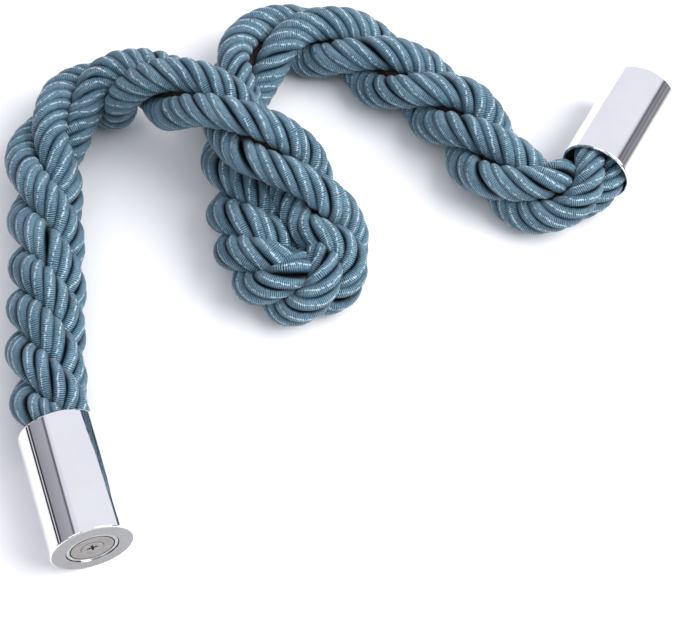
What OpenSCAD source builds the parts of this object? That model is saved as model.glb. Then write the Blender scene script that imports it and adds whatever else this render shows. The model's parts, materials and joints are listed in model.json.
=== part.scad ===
// Twisted barrier rope with a plated cap and a magnet on each end, lying loosely on a table.
// The table is z = 0. The origin is the middle of the floor box of the two capped ends.

/* [Caps] */
// Outside diameter of each cap
cap_d = 20; // [18:0.5:26]
// Length of each cap, from its end face to its mouth
cap_len = 32.5; // [28:0.5:45]
// Thickness of the cap's side wall
cap_wall = 1; // [0.6:0.1:1.4]
// Depth of the thick end of the cap, which the magnet sits in
cap_end = 5; // [3.5:0.25:7]
// Rounding of the cap's outer edges
cap_round = 0.4; // [0.2:0.1:0.5]

/* [Placing] */
// Floor length that the two caps span, left to right
span_x = 172; // [165:1:180]
// Floor depth that the two caps span, front to back
span_y = 146; // [140:1:152]
// Heading of the left cap's end face, in degrees from +X
left_az = -70; // [-80:1:-60]
// Heading of the right cap's end face, in degrees from +X
right_az = 60; // [50:1:70]

/* [Magnet] */
// Outside diameter of the steel cup round the magnet
cup_d = 12.3; // [10:0.1:14]
// Wall of the steel cup
cup_wall = 0.75; // [0.5:0.05:1.2]
// Floor of the steel cup
cup_floor = 1; // [0.6:0.1:1.4]
// How far the cup and magnet sit below the cap's end face
cup_sink = 0.2; // [0:0.05:0.5]
// Gap between the cup and the cap, all round
cup_gap = 0.2; // [0.05:0.05:0.4]
// Gap between the magnet and the cup's wall
magnet_gap = 0.3; // [0.1:0.05:0.5]

/* [Screw] */
// Shank diameter
screw_d = 3; // [2:0.1:3.4]
// Diameter of the countersunk head
head_d = 5.3; // [4.4:0.1:6]
// Whole length of the screw
screw_len = 11; // [8:0.5:12.5]
// Gap between the screw and each hole it passes through
screw_gap = 0.15; // [0.05:0.05:0.3]
// Tip to tip width of the cross recess
cross_w = 2.6; // [1.8:0.1:3.4]
// Width of one slot of the cross
cross_slot = 0.6; // [0.4:0.05:0.9]
// Depth of the cross recess
cross_deep = 1; // [0.5:0.1:1.2]

/* [Rope] */
// Diameter of the rope where it is free
rope_d = 18; // [14:0.5:18]
// Diameter of the rope where it is bound inside a cap
bound_d = 15.4; // [12:0.2:16]
// Length of the binding round each end
binding_len = 8; // [5:0.5:8.5]
// Length of the plug that the screw bites into
plug_len = 9; // [8:0.5:12]
// Thickness of the glue between the plug and the rope's end
glue_t = 0.6; // [0.3:0.1:1]
// Gap between the cap's bore and the plug, glue and binding
bore_gap = 0.1; // [0.05:0.05:0.3]

/* [Hidden] */
$fn = 96;

bore_r = cap_d / 2 - cap_wall;
cup_h = cap_end - cup_sink;
magnet_r = cup_d / 2 - cup_wall - magnet_gap;
magnet_h = cup_h - cup_floor;
screw_hole_r = screw_d / 2 + screw_gap;
head_h = (head_d - screw_d) / 2;
rope_in = cap_len - cap_end - plug_len - glue_t;

// How far a cut runs past the face that it opens
over = 1;
// Radius of the screw's blunted tip, and the room past it in the plug's hole
screw_tip_r = 0.3;
tip_room = 0.5;
pilot = screw_len + cup_sink - cap_end + tip_room;

// Sides of the rope's tube, its rings to each interval of the route, and the route's points inside
// each cap, the last of them at the mouth
rope_sides = 12;
steps = 2;
inside = 3;
// Steps in the quarter rounds of the cap's profile
edge_steps = 6;

// Headings as unit vectors, from a cap's mouth to its end face
left_out = [cos(left_az), sin(left_az), 0];
right_out = [cos(right_az), sin(right_az), 0];

// Centre of each end face. The left cap touches the span box with its mouth on the left and its end
// face in front, and the right cap touches it with its end face on the right and behind.
left_end = [
    -span_x / 2 + cap_d / 2 * abs(left_out.y) + cap_len * left_out.x,
    -span_y / 2 + cap_d / 2 * abs(left_out.x),
    cap_d / 2,
];
right_end = [
    span_x / 2 - cap_d / 2 * abs(right_out.y),
    span_y / 2 - cap_d / 2 * abs(right_out.x),
    cap_d / 2,
];
left_mouth = left_end - cap_len * left_out;
right_mouth = right_end - cap_len * right_out;

// The points that pull the free rope's middle line along, from the left mouth to the right one. It
// runs back from the left cap, arches, climbs over itself, turns tightly, passes beneath, arches
// again and sags into the right cap.
WAY = [
    [-80, -31, 9], [-82, -20, 9], [-83, -7, 9], [-84, 7, 9], [-86, 20, 9], [-88, 33, 9],
    [-90, 45, 9], [-88, 57, 9], [-80, 67, 9], [-69, 68, 13], [-59, 61, 21], [-49, 53, 27],
    [-39, 45, 30], [-29, 37, 28], [-19, 30, 22], [-11, 23, 14], [-6, 14, 9], [-9, 4, 9],
    [-19, -1, 9], [-29, 4, 9], [-33, 15, 9], [-34, 29, 9], [-36, 43, 9], [-37, 57, 9],
    [-38, 70, 9], [-34, 83, 9], [-23, 91, 9], [-10, 89, 9], [2, 80, 9], [13, 71, 9],
    [23, 63, 9], [30, 52, 9], [35, 41, 9], [44, 32, 9], [55, 32, 9],
];
ROUTE = concat(
    [for (k = [inside - 1:-1:0]) left_mouth + left_out * rope_in * k / (inside - 1)],
    WAY,
    [for (k = [0:inside - 1]) right_mouth + right_out * rope_in * k / (inside - 1)]
);
last = len(ROUTE) - 1;

// A point on the smooth curve that the route pulls along (a cubic B-spline, which passes through the
// first and last points), u intervals from its start
function route_at(u) =
    let (i = min(floor(u), last - 1), t = u - i, s = 1 - t)
    let (b = ROUTE[i], c = ROUTE[i + 1])
    let (a = i > 0 ? ROUTE[i - 1] : 2 * b - c)
    let (d = i + 2 <= last ? ROUTE[i + 2] : 2 * c - b)
    (s ^ 3 * a + (3 * t ^ 3 - 6 * t ^ 2 + 4) * b + (3 * s ^ 3 - 6 * s ^ 2 + 4) * c + t ^ 3 * d) / 6;

// Direction of the curve there
function heading_at(u) =
    let (near = 0.01, v = route_at(min(u + near, last)) - route_at(max(u - near, 0)))
    v / norm(v);

// Radius of the rope there: it fills out from the bound stretch to the first point outside the mouth
function radius_at(u) =
    let (bound = (inside - min(u, last - u)) / (inside - 1))
    (rope_d - (rope_d - bound_d) * min(max(bound, 0), 1)) / 2;

function ring_at(u) =
    let (t = heading_at(u), across = cross([0, 0, 1], t))
    let (side = across / norm(across), up = cross(t, side))
    [for (k = [0:rope_sides - 1])
        let (a = 360 * k / rope_sides)
        route_at(u) + radius_at(u) * (cos(a) * side + sin(a) * up)];

// Quarter round in a profile, turning from angle a0 to a0 + 90
function quarter(x, y, r, a0) =
    [for (k = [0:edge_steps]) [x + r * cos(a0 + 90 * k / edge_steps), y + r * sin(a0 + 90 * k / edge_steps)]];

// Puts a piece built along +Z, with the end face at z = 0 and the mouth above it, on its cap's axis
module at_left() {
    translate(left_end) rotate([0, 0, left_az]) rotate([0, -90, 0]) children();
}

module at_right() {
    translate(right_end) rotate([0, 0, right_az]) rotate([0, -90, 0]) children();
}

module cap() {
    r = cap_d / 2;
    seat_r = cup_d / 2 + cup_gap;
    lip = cap_wall / 2;
    color("gainsboro")
    rotate_extrude()
    polygon(concat(
        [[seat_r, 0]],
        quarter(r - cap_round, cap_round, cap_round, -90),
        quarter(r - lip, cap_len - lip, lip, 0),
        quarter(r - lip, cap_len - lip, lip, 90),
        [[bore_r, cap_end], [seat_r, cap_end]]
    ));
}

module magnet_cup() {
    color("silver")
    translate([0, 0, cup_sink])
    difference() {
        cylinder(d = cup_d, h = cup_h);
        translate([0, 0, -over]) cylinder(r = cup_d / 2 - cup_wall, h = magnet_h + over);
        cylinder(r = screw_hole_r, h = cup_h + over);
    }
}

module magnet() {
    color("rosybrown")
    translate([0, 0, cup_sink])
    difference() {
        cylinder(r = magnet_r, h = magnet_h);
        translate([0, 0, -over]) cylinder(r = screw_hole_r, h = magnet_h + 2 * over);
        cylinder(r1 = head_d / 2 + screw_gap, r2 = screw_d / 2 + screw_gap, h = head_h);
    }
}

module screw() {
    color("lightslategray")
    translate([0, 0, cup_sink])
    difference() {
        union() {
            cylinder(r1 = head_d / 2, r2 = screw_d / 2, h = head_h);
            cylinder(d = screw_d, h = screw_len - screw_d / 2);
            translate([0, 0, screw_len - screw_d / 2])
                cylinder(r1 = screw_d / 2, r2 = screw_tip_r, h = screw_d / 2);
        }
        for (a = [0, 90])
            rotate([0, 0, a]) cube([cross_w, cross_slot, 2 * cross_deep], center = true);
    }
}

module plug() {
    color("burlywood")
    translate([0, 0, cap_end])
    difference() {
        cylinder(r = bore_r - bore_gap, h = plug_len);
        translate([0, 0, -over]) cylinder(r = screw_hole_r, h = pilot + over);
    }
}

module glue_pad() {
    color("ivory")
    translate([0, 0, cap_end + plug_len])
    cylinder(r = bore_r - bore_gap, h = glue_t);
}

module binding() {
    color("midnightblue")
    translate([0, 0, cap_len - rope_in])
    difference() {
        cylinder(r = bore_r - bore_gap, h = binding_len);
        translate([0, 0, -over]) cylinder(r = bound_d / 2 + bore_gap, h = binding_len + 2 * over);
    }
}

// One closed tube: a ring of points at each step along the route, and a flat face at each end
module rope() {
    rings = last * steps;
    points = [for (i = [0:rings]) each ring_at(i / steps)];
    sides = [
        for (i = [0:rings - 1], k = [0:rope_sides - 1])
            let (a = i * rope_sides, n = (k + 1) % rope_sides)
            each [[a + k, a + n, a + rope_sides + n], [a + k, a + rope_sides + n, a + rope_sides + k]]
    ];
    ends = [
        [for (k = [rope_sides - 1:-1:0]) k],
        [for (k = [0:rope_sides - 1]) rings * rope_sides + k],
    ];
    color("steelblue") polyhedron(points, concat(sides, ends));
}

at_left() cap();  // left_cap
at_left() magnet_cup();  // left_magnet_cup
at_left() magnet();  // left_magnet
at_left() screw();  // left_screw
at_left() plug();  // left_plug
at_left() glue_pad();  // left_glue_pad
at_left() binding();  // left_binding
at_right() cap();  // right_cap
at_right() magnet_cup();  // right_magnet_cup
at_right() magnet();  // right_magnet
at_right() screw();  // right_screw
at_right() plug();  // right_plug
at_right() glue_pad();  // right_glue_pad
at_right() binding();  // right_binding
rope();
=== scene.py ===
import json
import math

import bpy
import numpy as np
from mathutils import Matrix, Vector

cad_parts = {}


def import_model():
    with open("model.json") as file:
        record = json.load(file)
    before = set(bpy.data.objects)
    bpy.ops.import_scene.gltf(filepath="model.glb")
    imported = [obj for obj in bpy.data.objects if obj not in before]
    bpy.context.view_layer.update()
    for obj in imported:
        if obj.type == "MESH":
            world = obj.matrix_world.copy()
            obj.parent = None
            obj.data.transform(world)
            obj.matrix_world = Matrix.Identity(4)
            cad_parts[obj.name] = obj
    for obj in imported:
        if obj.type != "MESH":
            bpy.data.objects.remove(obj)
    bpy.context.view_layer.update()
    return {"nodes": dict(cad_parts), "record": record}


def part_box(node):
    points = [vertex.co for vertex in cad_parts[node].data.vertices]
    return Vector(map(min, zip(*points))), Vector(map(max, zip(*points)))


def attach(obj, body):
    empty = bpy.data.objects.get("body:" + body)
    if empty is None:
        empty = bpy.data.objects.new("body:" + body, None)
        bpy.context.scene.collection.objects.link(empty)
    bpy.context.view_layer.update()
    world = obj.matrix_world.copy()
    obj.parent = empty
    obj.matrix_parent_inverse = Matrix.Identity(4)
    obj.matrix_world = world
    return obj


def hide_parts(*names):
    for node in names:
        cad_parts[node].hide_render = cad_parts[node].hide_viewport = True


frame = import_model()

MM = 0.001
BODY = "root"
SEED = 7
UP = np.array([0.0, 0.0, 1.0])

# The cap's axis runs from its mouth to its end face. Lengths along it are those of the CAD source.
CAP_LEN = 32.5 * MM
ROPE_IN = 17.9 * MM

# The points that pull the free rope's middle line along, in millimetres, as the CAD source has them
WAY = [
    (-80, -31, 9), (-82, -20, 9), (-83, -7, 9), (-84, 7, 9), (-86, 20, 9), (-88, 33, 9),
    (-90, 45, 9), (-88, 57, 9), (-80, 67, 9), (-69, 68, 13), (-59, 61, 21), (-49, 53, 27),
    (-39, 45, 30), (-29, 37, 28), (-19, 30, 22), (-11, 23, 14), (-6, 14, 9), (-9, 4, 9),
    (-19, -1, 9), (-29, 4, 9), (-33, 15, 9), (-34, 29, 9), (-36, 43, 9), (-37, 57, 9),
    (-38, 70, 9), (-34, 83, 9), (-23, 91, 9), (-10, 89, 9), (2, 80, 9), (13, 71, 9),
    (23, 63, 9), (30, 52, 9), (35, 41, 9), (44, 32, 9), (55, 32, 9),
]
LINE_POINTS = 961

# The direction that the grooves below are counted from: steeply up, towards the front
FACING = np.array([0.0, -0.53, 0.848])

# Where each groove between two strands crosses the rope's facing side, in mm from the left mouth
GROOVES = [
    -19, -5, 8, 21, 34, 48, 63, 80, 103, 124, 151, 178, 201, 218, 230, 241, 252, 264, 279, 299, 322,
    349, 370, 391, 413, 431, 447, 463,
]
GROOVE_EASE = 6

# How the rope is laid, as (distance from the left mouth in mm, value) pairs joined by smooth steps:
# the strands' distance from the rope's line and their radius in mm, and how wide they spread apart
STRANDS = 3
LAY_R = [(-18, 4.1), (-5, 4.2), (1, 4.7), (10, 5.6), (60, 5.7), (90, 6.0), (140, 6.2), (165, 5.8),
         (185, 5.6), (200, 5.9), (218, 5.5), (240, 5.5), (255, 6.0), (275, 5.9), (295, 5.4),
         (318, 6.4), (345, 6.4), (405, 6.2), (432, 5.9), (443, 4.9), (450, 4.7), (462, 4.1)]
STRAND_R = [(-18, 3.5), (-5, 3.6), (1, 4.1), (10, 4.6), (100, 4.8), (150, 4.6), (185, 4.5),
            (200, 4.8), (220, 4.6), (240, 4.6), (258, 5.0), (280, 4.7), (300, 4.4), (325, 5.0),
            (370, 4.9), (425, 4.8), (443, 4.1), (450, 4.0), (462, 3.5)]
SPREAD = [(-18, 1), (240, 1), (258, 1.12), (280, 1.08), (300, 1), (335, 1.05), (410, 1.1),
          (432, 1), (462, 1)]

# The strands of the tight bend gather towards this point, by this many mm
NIP = np.array([-0.0205, 0.0150])
GATHER = [(185, 0), (203, 2.2), (225, 2.2), (262, 2.6), (290, 0), (462, 0)]

# The plies of a strand. Depth and width are half of a ply's own, as shares of the strand's radius.
PLIES = 5
PLY_LEAD = 21.5 * MM
PLY_IN = 0.36
PLY_WIDE = 0.38
PLY_RINGS = 550
PLY_SIDES = 12

# Hand-laid unevenness, as (number of random knots along the line, size)
STRAY = (30, 0.13)
BULGE = (34, 0.035)
DRIFT = (24, 0.16)
SWELL = (60, 0.055)
EVEN_BEFORE = 3
EVEN_AFTER = 442

# How softly strands and plies flatten where they meet the table
STRAND_SOFT = 0.4 * MM
PLY_SOFT = 0.12 * MM

CORE_R = 2.2 * MM
CORE_SIDES = 12
CORE_SHORT = 6

# Along a tube, one unit of its UV map is 10 mm
UV_MAP = "along_and_round"
UV_LEN = 10 * MM

# A line that turns less than this between two of its points is taken as straight there
NO_TURN = 1e-18


# Lines and frames

def ease(keys, at):
    """The value at each distance, easing from each key to the next."""
    x, y = np.array(keys, float).T
    i = np.clip(np.searchsorted(x, at) - 1, 0, len(x) - 2)
    t = np.clip((at - x[i]) / (x[i + 1] - x[i]), 0, 1)
    t = t * t * (3 - 2 * t)
    return y[i] * (1 - t) + y[i + 1] * t


def unit(v):
    return v / np.linalg.norm(v, axis=-1, keepdims=True)


def dot(a, b):
    return (a * b).sum(-1, keepdims=True)


def lengths(points):
    """The distance along a line at each of its points."""
    steps = np.linalg.norm(np.diff(points, axis=0), axis=1)
    return np.concatenate([[0], np.cumsum(steps)])


def resampled(values, old, new):
    """Rows of values at the old distances, read off at the new ones."""
    return np.stack([np.interp(new, old, column) for column in values.T], axis=1)


def evenly(points, count):
    s = lengths(points)
    return resampled(points, s, np.linspace(0, s[-1], count))


def route_curve(route, per_step=40):
    """The cubic B-spline that the route's points pull along, through its first and last points."""
    last = len(route) - 1
    padded = np.vstack([2 * route[0] - route[1], route, 2 * route[-1] - route[-2]])
    u = np.linspace(0, last, last * per_step + 1)
    i = np.minimum(u.astype(int), last - 1)
    t = (u - i)[:, None]
    s = 1 - t
    a, b, c, d = (padded[i + k] for k in range(4))
    middle = (3 * t**3 - 6 * t**2 + 4) * b + (3 * s**3 - 6 * s**2 + 4) * c
    return (s**3 * a + middle + t**3 * d) / 6


def turning_frames(points):
    """Tangents, and normals that start upward and turn as little as they can along the line."""
    tangents = unit(np.gradient(points, axis=0))
    normals = np.empty_like(points)
    normals[0] = unit(UP - tangents[0] * (UP @ tangents[0]))
    for i in range(len(points) - 1):
        step = points[i + 1] - points[i]
        square = step @ step
        n = normals[i] - 2 / square * (step @ normals[i]) * step
        t = tangents[i] - 2 / square * (step @ tangents[i]) * step
        turn = tangents[i + 1] - t
        square = turn @ turn
        normals[i + 1] = n - 2 / square * (turn @ n) * turn if square > NO_TURN else n
    return tangents, normals


def smooth_floor(z, low, soft):
    """z, eased so that it never comes below low."""
    return low + soft * np.logaddexp(0, (z - low) / soft)


# The rope's route

def cap_ends():
    """Centre and outward direction of each cap's end face, from the record's mounts and the caps."""
    found = {}
    for mount in frame["record"]["mounts"]:
        side = mount["name"].split("_")[0]
        low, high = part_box(side + "_cap")
        x, y, _ = mount["pos_m"]
        found[side] = (np.array([x, y, (low.z + high.z) / 2]), np.array(mount["axis"], float))
    return found


ENDS = cap_ends()


def cap_mouth(side):
    centre, outward = ENDS[side]
    return centre - outward * CAP_LEN


def rope_route():
    """All the route's points, with three inside each cap, the last of them at its mouth."""
    into = [cap_mouth("left") + ENDS["left"][1] * ROPE_IN * k / 2 for k in (2, 1, 0)]
    out = [cap_mouth("right") + ENDS["right"][1] * ROPE_IN * k / 2 for k in (0, 1, 2)]
    return np.array(into + [np.array(p) * MM for p in WAY] + out)


# Strands and plies

def lay_turns(at):
    """Turns of the lay at each distance: a third of a turn from groove to groove, smoothed."""
    shifts = np.linspace(-GROOVE_EASE, GROOVE_EASE, 2 * GROOVE_EASE + 1)
    shifted = [np.interp(at + d, GROOVES, np.arange(len(GROOVES))) for d in shifts]
    return np.mean(shifted, axis=0) / STRANDS


def uneven(rng, at, knots, size):
    """Smooth unevenness along the rope, gone inside the caps, where the binding holds it."""
    places = np.linspace(at[0], at[-1], knots)
    values = rng.normal(0, size, knots)
    values[(places < EVEN_BEFORE) | (places > EVEN_AFTER)] = 0
    return ease(list(zip(places, values)), at)


def wander(rng, along, knots, size):
    """Unevenness along a whole line, straight from knot to knot."""
    places = np.linspace(0, along[-1], knots)
    return np.interp(along, places, rng.normal(0, size, knots))


def strand_lines(line, at):
    """The middle line of each strand, round the rope's own line."""
    tangents = unit(np.gradient(line, axis=0))
    facing = unit(FACING - tangents * (tangents @ FACING)[:, None])
    sides = np.cross(tangents, facing)
    turns = lay_turns(at)
    gathered = line.copy()
    gathered[:, :2] += unit(NIP - line[:, :2]) * ease(GATHER, at)[:, None] * MM
    radius = ease(LAY_R, at)[:, None] * MM
    spread = ease(SPREAD, at)[:, None]
    low = ease(STRAND_R, at) * MM
    rng = np.random.default_rng(SEED)
    lines = []
    for j in range(STRANDS):
        stray = uneven(rng, at, *STRAY)
        phi = (math.pi + stray - 2 * math.pi * (turns - j / STRANDS))[:, None]
        bulge = 1 + uneven(rng, at, *BULGE)[:, None]
        offset = radius * bulge * (np.cos(phi) * facing + np.sin(phi) * sides)
        offset[:, :2] *= spread
        points = gathered + offset
        points[:, 2] = smooth_floor(points[:, 2], low, STRAND_SOFT)
        lines.append(points)
    return lines


def ply_outward(strand, j, k, rng):
    """The direction from a strand's line to one of its plies, which wind against the rope's lay."""
    tangents, normals = turning_frames(strand)
    across = np.cross(tangents, normals)
    s = lengths(strand)
    psi = (2 * math.pi * (s / PLY_LEAD + k / PLIES) + wander(rng, s, *DRIFT) + j)[:, None]
    return np.cos(psi) * normals + np.sin(psi) * across


def oval_rings(middle, outward, half_wide, half_deep):
    """Oval rings of points square to a line, which start on their inner side."""
    tangent = unit(np.gradient(middle, axis=0))
    outward = unit(outward - tangent * dot(outward, tangent))
    wide = np.cross(tangent, outward)
    around = np.linspace(0, 2 * math.pi, PLY_SIDES, endpoint=False) - math.pi / 2
    c = np.cos(around)[None, :, None]
    d = np.sin(around)[None, :, None]
    across = half_wide[:, None] * c * wide[:, None]
    return middle[:, None] + across + half_deep[:, None] * d * outward[:, None]


def ply_tube(strand, at, j, k):
    """Rings of points round one ply, and the distance along it at each."""
    rng = np.random.default_rng(SEED + 10 * j + k)
    radius = ease(STRAND_R, at)[:, None] * MM
    outward = ply_outward(strand, j, k, rng)
    middle = strand + outward * (radius * (1 - PLY_IN))
    along = lengths(middle)
    even = np.linspace(0, along[-1], PLY_RINGS)
    middle, outward, radius = (resampled(v, along, even) for v in (middle, outward, radius))
    radius = radius * (1 + wander(rng, even, *SWELL)[:, None])
    points = oval_rings(middle, outward, radius * PLY_WIDE, radius * PLY_IN)
    points[..., 2] = smooth_floor(points[..., 2], 0.0, PLY_SOFT)
    return points, even


# Meshes

def tube_faces(rings, sides, start):
    """Quads between the rings of a tube whose points start at that index."""
    i = np.arange(rings - 1)[:, None] * sides + start
    k = np.arange(sides)[None]
    n = (k + 1) % sides
    return np.stack([i + k, i + n, i + sides + n, i + sides + k], axis=-1).reshape(-1, 4)


def tube_uvs(along, sides):
    """A place in the UV map for each corner of a tube's quads: x along it and y round it."""
    u = along / UV_LEN
    corner_u = np.stack([u[:-1], u[:-1], u[1:], u[1:]], axis=-1)
    corner_u = np.repeat(corner_u[:, None], sides, axis=1)
    v = np.arange(sides) / sides
    corner_v = np.stack([v, v + 1 / sides, v + 1 / sides, v], axis=-1)
    corner_v = np.repeat(corner_v[None], len(along) - 1, axis=0)
    return np.stack([corner_u, corner_v], axis=-1).reshape(-1, 2)


def tubes_mesh(name, tubes):
    """One smooth mesh of several closed tubes. Its end faces come last and share one UV place."""
    verts, quads, ends, uvs = [], [], [], []
    start = 0
    for points, along in tubes:
        rings, sides = points.shape[:2]
        verts.append(points.reshape(-1, 3))
        quads.append(tube_faces(rings, sides, start))
        uvs.append(tube_uvs(along, sides))
        ends.append([start + k for k in range(sides)][::-1])
        ends.append([start + (rings - 1) * sides + k for k in range(sides)])
        start += rings * sides
    mesh = bpy.data.meshes.new(name)
    mesh.from_pydata(np.concatenate(verts).tolist(), [], np.concatenate(quads).tolist() + ends)
    side_uvs = np.concatenate(uvs)
    flat = np.zeros((len(mesh.loops), 2), np.float32)
    flat[: len(side_uvs)] = side_uvs
    mesh.uv_layers.new(name=UV_MAP).data.foreach_set("uv", flat.ravel())
    mesh.polygons.foreach_set("use_smooth", np.ones(len(mesh.polygons), bool))
    mesh.update()
    piece = bpy.data.objects.new(name, mesh)
    bpy.context.scene.collection.objects.link(piece)
    return piece


def laid_rope(line):
    """The laid rope: every ply of every strand, in one mesh."""
    at = lengths(line) / MM - ROPE_IN / MM
    tubes = []
    for j, strand in enumerate(strand_lines(line, at)):
        tubes += [ply_tube(strand, at, j, k) for k in range(PLIES)]
    return tubes_mesh("laid_rope", tubes)


def rope_core(line):
    """The dark filler yarn along the middle of the rope, which shows where the strands part."""
    points = line[CORE_SHORT:-CORE_SHORT:2]
    tangents, normals = turning_frames(points)
    across = np.cross(tangents, normals)
    a = np.linspace(0, 2 * math.pi, CORE_SIDES, endpoint=False)
    ring = np.cos(a)[None, :, None] * normals[:, None] + np.sin(a)[None, :, None] * across[:, None]
    return tubes_mesh("core_yarn", [(points[:, None] + CORE_R * ring, lengths(points))])


# Materials

class Shading:
    """The nodes of one material or world, each added by a short call."""

    def __init__(self, owner, end="Principled BSDF"):
        owner.use_nodes = True
        self.owner = owner
        self.nodes = owner.node_tree.nodes
        self.links = owner.node_tree.links
        self.end = self.nodes[end]

    def put(self, socket, value):
        """Join an output to a socket, or set the socket to a plain value."""
        if isinstance(value, bpy.types.NodeSocket):
            self.links.new(value, socket)
        else:
            socket.default_value = value

    def surface(self, values):
        """Put these values on the shader that ends the node tree."""
        for name, value in values.items():
            self.put(self.end.inputs[name], value)

    def node(self, kind, inputs=(), **settings):
        """A new node, with these settings and with these values on its inputs."""
        made = self.nodes.new(kind)
        for name, value in settings.items():
            setattr(made, name, value)
        for key, value in dict(inputs).items():
            self.put(made.inputs[key], value)
        return made

    def position(self):
        return self.node("ShaderNodeTexCoord").outputs["Object"]

    def calc(self, operation, a, b=0.0):
        return self.node("ShaderNodeMath", {0: a, 1: b}, operation=operation).outputs[0]

    def plus(self, a, b):
        return self.calc("ADD", a, b)

    def times(self, a, b):
        return self.calc("MULTIPLY", a, b)

    def zigzag(self, value):
        """Up to 0.5 and back to 0, once for each whole turn."""
        return self.calc("PINGPONG", value, 0.5)

    def off_middle(self, value, middle):
        return self.calc("ABSOLUTE", self.calc("SUBTRACT", value, middle))

    def vector(self, operation, a, b, output="Value"):
        node = self.node("ShaderNodeVectorMath", {0: a, 1: b}, operation=operation)
        return node.outputs[output]

    def parts(self, vector):
        return self.node("ShaderNodeSeparateXYZ", {0: vector}).outputs

    def noise(self, scale, detail=2):
        inputs = {"Vector": self.position(), "Scale": scale, "Detail": detail}
        return self.node("ShaderNodeTexNoise", inputs).outputs["Fac"]

    def step(self, value, start, end):
        """From 0 at start to 1 at end, easing at both."""
        inputs = {"Value": value, "From Min": start, "From Max": end}
        settings = {"interpolation_type": "SMOOTHSTEP"}
        return self.node("ShaderNodeMapRange", inputs, **settings).outputs["Result"]

    def ramp(self, value, stops):
        """Colours at these (place, colour) stops, and between them."""
        node = self.node("ShaderNodeValToRGB", {"Fac": value})
        elements = node.color_ramp.elements
        while len(elements) < len(stops):
            elements.new(0.5)
        for element, (place, colour) in zip(elements, stops):
            element.position = place
            element.color = (*colour, 1)
        return node.outputs["Color"]

    def mix(self, factor, a, b, blend="MIX"):
        settings = {"data_type": "RGBA", "blend_type": blend}
        return self.node("ShaderNodeMix", {0: factor, 6: a, 7: b}, **settings).outputs[2]

    def bump(self, height, distance, strength=1.0):
        inputs = {"Strength": strength, "Distance": distance, "Height": height}
        self.surface({"Normal": self.node("ShaderNodeBump", inputs).outputs["Normal"]})


def new_material(name):
    return Shading(bpy.data.materials.new(name))


# Satin thread: turns of it in one UV unit, how far they stray, and what their colour is made up of,
# with painted shade between the turns
THREAD_TURNS = 24
THREAD_STRAY = 2.2
RIDGE_SHADE_PART = 0.40
TONE_PART = 0.30
FLECK_PART = 0.32
RIDGE_HEIGHT = 0.18 * MM
THREAD_TONES = [
    (0.30, (0.009, 0.036, 0.060)), (0.45, (0.070, 0.160, 0.225)), (0.59, (0.135, 0.268, 0.355)),
    (0.74, (0.255, 0.420, 0.505)),
]

# Shade by distance from a ply's crown, where half of the way round is 0.5
CROWN = 0.5
GROOVE_SHADE = [
    (0.0, (1.0, 1.0, 1.0)), (0.09, (0.93, 0.94, 0.95)), (0.15, (0.64, 0.68, 0.72)),
    (0.195, (0.18, 0.23, 0.27)), (0.23, (0.02, 0.035, 0.045)),
]

# The painted highlight along each ply's crown, a broken pale line: its half width, how it sways and
# is toothed, and where it breaks
HIGHLIGHT_HALF = 0.018
MEAN_NOISE = 0.5
HIGHLIGHT_SWAY = 0.28
HIGHLIGHT_TOOTH = -0.020
HIGHLIGHT_BREAK = (0.36, 0.62)
PAINTED_HIGHLIGHT_COLOUR = (0.56, 0.70, 0.78, 1)


def painted_crown_highlight(made, y, ridge, tone, fleck):
    """How much of the painted highlight, a broken pale line for the sheen of the thread's turns,
    lies at each place.
    """
    sway = made.times(made.calc("SUBTRACT", tone, MEAN_NOISE), HIGHLIGHT_SWAY)
    off_crown = made.off_middle(made.plus(y, sway), CROWN)
    off_crown = made.plus(off_crown, made.times(ridge, HIGHLIGHT_TOOTH))
    return made.times(made.step(off_crown, HIGHLIGHT_HALF, 0.0), made.step(fleck, *HIGHLIGHT_BREAK))


def satin_material():
    """Plies wrapped in fine satin thread: each turn of thread is a ridge across the ply. The colour
    has painted shade between the turns and in the grooves between plies, and a painted highlight
    along each crown.
    """
    made = new_material("satin_thread")
    x, y, _ = made.parts(made.node("ShaderNodeUVMap", uv_map=UV_MAP).outputs["UV"])
    stray = made.times(made.noise(scale=260, detail=1), THREAD_STRAY)
    ridge = made.times(made.zigzag(made.plus(made.times(x, THREAD_TURNS), stray)), 2)
    tone = made.noise(scale=110, detail=4)
    fleck = made.noise(scale=1500)
    # The ridge part is painted shade, darker between the thread's turns and lighter on them; tone
    # and fleck are the thread's own random tone
    light = made.plus(made.times(ridge, RIDGE_SHADE_PART), made.times(tone, TONE_PART))
    light = made.plus(light, made.times(fleck, FLECK_PART))
    shade = made.ramp(made.off_middle(y, CROWN), GROOVE_SHADE)
    colour = made.mix(1.0, made.ramp(light, THREAD_TONES), shade, "MULTIPLY")
    # Painted highlight: a pale line mixed into the colour along each ply's crown
    colour = made.mix(painted_crown_highlight(made, y, ridge, tone, fleck), colour, PAINTED_HIGHLIGHT_COLOUR)
    tangent = made.node("ShaderNodeTangent", direction_type="UV_MAP", uv_map=UV_MAP)
    made.bump(ridge, distance=RIDGE_HEIGHT)
    made.surface({
        "Base Color": colour, "Tangent": tangent.outputs["Tangent"], "Roughness": 0.40,
        "Anisotropic": 0.95, "Specular IOR Level": 0.6, "Sheen Weight": 0.03,
        "Sheen Roughness": 0.4, "Sheen Tint": (0.55, 0.75, 0.9, 1),
    })
    return made.owner


def core_material():
    """Dark brown-black filler fibre."""
    made = new_material("core_fibre")
    fibre = made.noise(scale=700)
    colour = made.ramp(fibre, [(0.3, (0.006, 0.005, 0.006)), (0.7, (0.040, 0.020, 0.018))])
    made.bump(fibre, distance=0.3 * MM)
    made.surface({"Base Color": colour, "Roughness": 0.9})
    return made.owner


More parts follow.
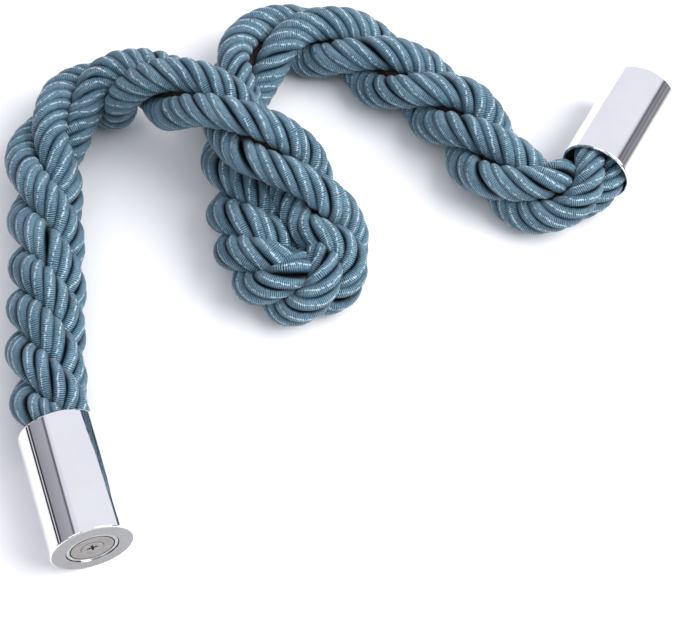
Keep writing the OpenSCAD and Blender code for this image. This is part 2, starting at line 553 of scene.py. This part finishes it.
def axis_places(made, side):
    """A cap's distance from its axis, distance in from its end face, and how far it faces out."""
    centre, outward = ENDS[side]
    from_end = made.vector("SUBTRACT", made.position(), centre, "Vector")
    square_to_axis = made.vector("CROSS_PRODUCT", from_end, outward, "Vector")
    normal = made.node("ShaderNodeNewGeometry").outputs["Normal"]
    radius = made.node("ShaderNodeVectorMath", {0: square_to_axis}, operation="LENGTH")
    depth = made.vector("DOT_PRODUCT", from_end, outward)
    return radius.outputs["Value"], depth, made.vector("DOT_PRODUCT", normal, outward)


def turned_rings(made, radius, pitch):
    """Fine rings that a lathe leaves, 0 to 0.5, by distance from the axis."""
    return made.zigzag(made.times(radius, 1 / pitch))


# A cap's surface that faces out this squarely is its end face
FACES_OUT = 0.97
TURNED_DEPTH = 0.02 * MM


def chrome_material(side):
    """Polished chrome, with a satin turned end face."""
    made = new_material(side + "_chrome")
    radius, _, faces_out = axis_places(made, side)
    is_face = made.calc("GREATER_THAN", faces_out, FACES_OUT)
    cloud = made.noise(scale=90, detail=4)
    grain = made.noise(scale=2600, detail=3)
    polished = made.ramp(cloud, [(0.3, (0.88, 0.88, 0.905)), (0.7, (0.94, 0.94, 0.955))])
    satin = made.ramp(grain, [(0.3, (0.30, 0.30, 0.305)), (0.7, (0.38, 0.38, 0.385))])
    face_rough = made.times(is_face, 0.30)
    haze = made.times(cloud, 0.09)
    rings = made.times(turned_rings(made, radius, pitch=0.3 * MM), is_face)
    waves = made.times(cloud, 0.6)
    made.bump(made.plus(rings, waves), distance=TURNED_DEPTH, strength=0.5)
    made.surface({
        "Base Color": made.mix(is_face, polished, satin), "Metallic": 1,
        "Roughness": made.plus(face_rough, haze),
    })
    return made.owner


# How much a stain changes a metal's roughness, half of it each way
STAIN_ROUGH = 0.2


def turned_metal(side, metal, dark, pale, roughness, pitch):
    """Plated or turned metal with rings round the cap's axis and small stains."""
    made = new_material(side + "_" + metal)
    radius, _, _ = axis_places(made, side)
    stain = made.noise(scale=700, detail=5)
    uneven_rough = made.times(stain, STAIN_ROUGH)
    made.bump(turned_rings(made, radius, pitch), distance=TURNED_DEPTH, strength=0.6)
    made.surface({
        "Base Color": made.ramp(stain, [(0.3, dark), (0.7, pale)]), "Metallic": 1,
        "Roughness": made.plus(uneven_rough, roughness - STAIN_ROUGH / 2),
    })
    return made.owner


RINGS_PER_M = 900
TOOL_PITCH = 0.4 * MM
BINDING_PITCH = 0.5 * MM


def wood_material(side):
    """Turned beech: rings of grain round the axis, small dark flecks and fine tool marks."""
    made = new_material(side + "_wood")
    radius, depth, _ = axis_places(made, side)
    bend = made.times(made.noise(scale=160, detail=3), 3)
    flecks = made.times(made.noise(scale=2400), 0.5)
    rings = made.zigzag(made.plus(made.times(radius, RINGS_PER_M), bend))
    grain = made.plus(rings, flecks)
    colour = made.ramp(grain, [(0.15, (0.23, 0.12, 0.055)), (0.8, (0.47, 0.29, 0.15))])
    tool_marks = made.zigzag(made.times(depth, 1 / TOOL_PITCH))
    made.bump(tool_marks, distance=0.05 * MM, strength=0.5)
    made.surface({"Base Color": colour, "Roughness": 0.6})
    return made.owner


def glue_material():
    """Set hot glue: amber, waxy and a little cloudy."""
    made = new_material("glue")
    cloud = made.noise(scale=500, detail=4)
    colour = made.ramp(cloud, [(0.3, (0.36, 0.23, 0.09)), (0.7, (0.62, 0.47, 0.24))])
    made.bump(cloud, distance=0.3 * MM, strength=0.4)
    made.surface({"Base Color": colour, "Roughness": 0.3})
    return made.owner


def binding_material(side):
    """Waxed linen thread wound round the rope's end, turn beside turn, with painted shade between
    the turns.
    """
    made = new_material(side + "_binding_thread")
    _, depth, _ = axis_places(made, side)
    wrap = made.zigzag(made.times(depth, 1 / BINDING_PITCH))
    fibre = made.times(made.noise(scale=1800, detail=3), 0.5)
    # Painted shade: the colour follows the wrap's height, darker between the thread's turns; the
    # fibre noise is its own tone
    tone = made.plus(wrap, fibre)
    colour = made.ramp(tone, [(0.2, (0.12, 0.09, 0.06)), (0.8, (0.56, 0.49, 0.37))])
    made.bump(wrap, distance=0.2 * MM)
    made.surface({"Base Color": colour, "Roughness": 0.7})
    return made.owner


# Each small metal part's metal, its dark and pale colour, roughness and ring pitch
METALS = {
    "magnet_cup": ("cup_steel", (0.40, 0.40, 0.41), (0.54, 0.54, 0.55), 0.30, 0.4 * MM),
    "magnet": ("nickel", (0.27, 0.255, 0.245), (0.36, 0.34, 0.33), 0.34, 0.6 * MM),
    "screw": ("zinc", (0.25, 0.24, 0.23), (0.38, 0.37, 0.36), 0.36, 0.5 * MM),
}


def assign(name, material):
    node = frame["nodes"][name]
    node.data.materials.clear()
    node.data.materials.append(material)


def finish_cap(side):
    """A material for each of the pieces at one end."""
    for part, look in METALS.items():
        assign(side + "_" + part, turned_metal(side, *look))
    assign(side + "_cap", chrome_material(side))
    assign(side + "_plug", wood_material(side))
    assign(side + "_glue_pad", glue_material())
    assign(side + "_binding", binding_material(side))


# Stage

ELEVATION = math.radians(58)
DISTANCE = 0.382
AIM = Vector((-0.00825, 0.00065, 0))
LENS = 76.9

FLOOR_R = 3

# The studio's sky, its walls' colours by height, and where each wall is: the way towards it, and how
# squarely a direction of the world faces that way where the wall begins and where it is whole
OPEN_SKY = (0.86, 0.87, 0.94, 1)
LEFT_PLACE = ((1, 0.5, 0), -0.20, -0.33)
RIGHT_PLACE = ((1, -0.3, 0), 0.60, 0.75)
LEFT_WALL = [
    (0.0, (0.03, 0.03, 0.04)), (0.08, (0.05, 0.05, 0.06)), (0.10, (0.80, 0.80, 0.84)),
    (0.13, (0.70, 0.70, 0.75)), (0.15, (0.03, 0.03, 0.04)), (0.22, (0.05, 0.05, 0.06)),
    (0.25, (0.30, 0.30, 0.34)), (0.70, (0.40, 0.40, 0.45)), (0.755, (0.06, 0.06, 0.08)),
    (0.79, (0.76, 0.77, 0.86)),
]
RIGHT_WALL = [
    (0.0, (0.70, 0.70, 0.72)), (0.07, (0.80, 0.80, 0.82)), (0.09, (0.10, 0.10, 0.12)),
    (0.12, (0.30, 0.30, 0.32)), (0.22, (0.22, 0.22, 0.25)), (0.24, (0.60, 0.60, 0.62)),
    (0.26, (0.20, 0.20, 0.22)), (0.42, (0.26, 0.26, 0.30)), (0.47, (0.09, 0.09, 0.12)),
    (0.56, (0.75, 0.75, 0.80)),
]


def camera():
    data = bpy.data.cameras.new("photo_view")
    data.sensor_width = 36
    data.lens = LENS
    data.clip_start = 0.01
    data.clip_end = 20
    cam = bpy.data.objects.new("photo_view", data)
    bpy.context.scene.collection.objects.link(cam)
    back = Vector((0, -math.cos(ELEVATION), math.sin(ELEVATION)))
    cam.location = AIM + back * DISTANCE
    cam.rotation_euler = (math.pi / 2 - ELEVATION, 0, 0)
    bpy.context.scene.camera = cam


def floor():
    bpy.ops.mesh.primitive_circle_add(vertices=96, radius=FLOOR_R, fill_type="NGON")
    piece = bpy.context.object
    piece.name = "floor"
    made = new_material("pale_floor")
    made.surface({"Base Color": (0.93, 0.93, 0.935, 1), "Roughness": 0.7})
    piece.data.materials.append(made.owner)


def on_wall(made, direction, towards, start, end):
    """From 0 off a wall to 1 on it, by how squarely a direction of the world faces it."""
    return made.step(made.vector("DOT_PRODUCT", direction, towards), start, end)


def world():
    """A white studio whose walls to the left and right shade from grey to white with height."""
    bpy.context.scene.world = bpy.data.worlds.new("studio")
    made = Shading(bpy.context.scene.world, "Background")
    direction = made.node("ShaderNodeTexCoord").outputs["Generated"]
    height = made.parts(direction)["Z"]
    left = on_wall(made, direction, *LEFT_PLACE)
    right = on_wall(made, direction, *RIGHT_PLACE)
    colour = made.mix(left, OPEN_SKY, made.ramp(height, LEFT_WALL))
    colour = made.mix(right, colour, made.ramp(height, RIGHT_WALL))
    made.surface({"Color": colour, "Strength": 1.0})


def light(name, location, size, power):
    """A square area light that faces the middle of the frame."""
    data = bpy.data.lights.new(name, "AREA")
    data.size = size
    data.energy = power
    lamp = bpy.data.objects.new(name, data)
    bpy.context.scene.collection.objects.link(lamp)
    lamp.location = location
    lamp.rotation_mode = "QUATERNION"
    lamp.rotation_quaternion = (-Vector(location)).to_track_quat("-Z", "Y")


def add_piece(piece, material):
    """Give a piece of the rope its material, and have it ride with the part."""
    piece.data.materials.append(material)
    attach(piece, BODY)


camera()
rope_line = evenly(route_curve(rope_route()), LINE_POINTS)
rope = laid_rope(rope_line)
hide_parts("rope")
add_piece(rope, satin_material())
core = rope_core(rope_line)
add_piece(core, core_material())

finish_cap("left")
finish_cap("right")
floor()
world()
light("key", (0.75, -0.15, 0.75), size=0.8, power=13)
light("fill", (-0.6, -0.5, 0.9), size=0.6, power=2)
bpy.context.scene.view_settings.view_transform = "Standard"
